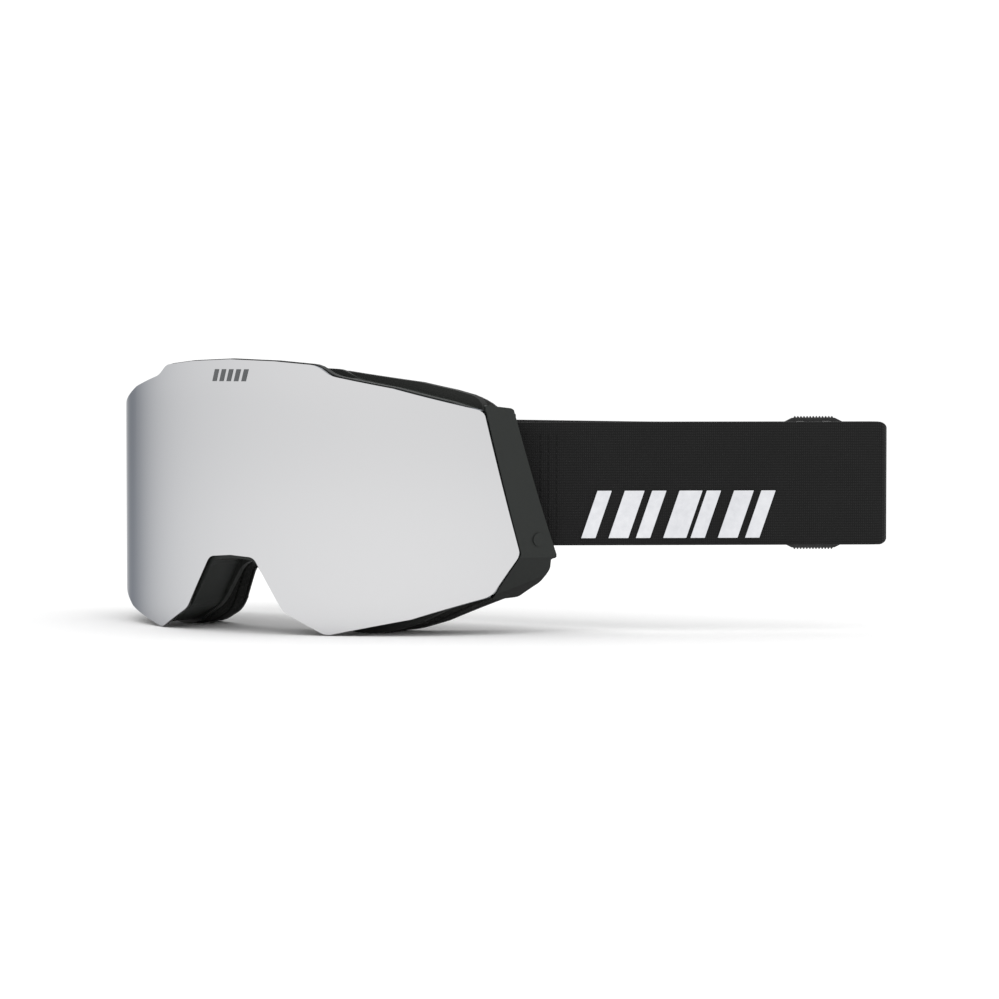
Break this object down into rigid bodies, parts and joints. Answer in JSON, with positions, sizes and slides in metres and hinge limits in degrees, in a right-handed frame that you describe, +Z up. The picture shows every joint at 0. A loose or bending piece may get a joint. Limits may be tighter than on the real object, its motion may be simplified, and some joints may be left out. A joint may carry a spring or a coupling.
{
  "type": "ski goggles",
  "caption": "Cylindrical mirror-lens ski goggles with a magnet-held double lens, foam-backed frame, side outriggers and a folded elastic strap with a toothed slider.",
  "frame": {"origin": "on the plane of symmetry, level with the surface that the goggles stand on, directly under the foremost point of the lens", "axes": "+Z up, the goggles face -Y, +X towards the wearer's left, where the folded strap lies"},
  "size_m": [0.2907, 0.146, 0.0998],
  "materials": {
    "mirror_lens": "silver mirror coating on polycarbonate",
    "clear_lens": "clear anti-fog inner lens",
    "black_foam": "open-cell foam",
    "grey_foam": "soft open-cell foam",
    "fleece": "brushed fleece",
    "steel": "satin",
    "magnet": "nickel-plated magnet",
    "frame_plastic": "fine satin moulding, dark green-grey",
    "flange_rubber": "matt soft overmould",
    "peg_plastic": "moulded",
    "tab_ink": "printed ink",
    "webbing": "fine woven elastic webbing",
    "thread": "sewing thread",
    "silicone": "silicone bead",
    "badge_chrome": "raised metallic print",
    "slider_plastic": "moulded, toothed ends"
  },
  "bodies": {
    "frame": {"frame_chassis": "frame_plastic", "frame_magnets": "magnet", "face_flange": "flange_rubber", "top_vent_foam": "black_foam", "lower_vent_foam_left": "black_foam", "lower_vent_foam_right": "black_foam", "face_foam_base": "black_foam", "face_foam_middle": "grey_foam", "face_fleece": "fleece", "outrigger_left": "frame_plastic", "outrigger_right": "frame_plastic", "outrigger_bosses": "frame_plastic", "outrigger_screws": "steel", "strap_bar_left": "steel", "strap_bar_right": "steel", "strap_outer_run": "webbing", "strap_fold": "webbing", "strap_return_run": "webbing", "strap_back_run": "webbing", "strap_stitching": "thread", "strap_grip_beads": "silicone", "strap_badge": "badge_chrome"},
    "lens": {"outer_lens": "mirror_lens", "lens_spacer": "black_foam", "inner_lens": "clear_lens", "lens_keepers": "steel", "lens_pegs": "peg_plastic", "lens_tab_mark": "tab_ink"},
    "slider": {"slider_frame": "slider_plastic", "slider_wrap": "webbing"}
  },
  "joints": [
    {"name": "lens_release", "type": "slide", "parent": "frame", "child": "lens", "axis": [0, -1, 0], "range_m": [0, 0.04]},
    {"name": "strap_adjust", "type": "slide", "parent": "frame", "child": "slider", "axis": [-0.788, -0.6157, 0], "range_m": [-0.008, 0.038]}
  ]
}
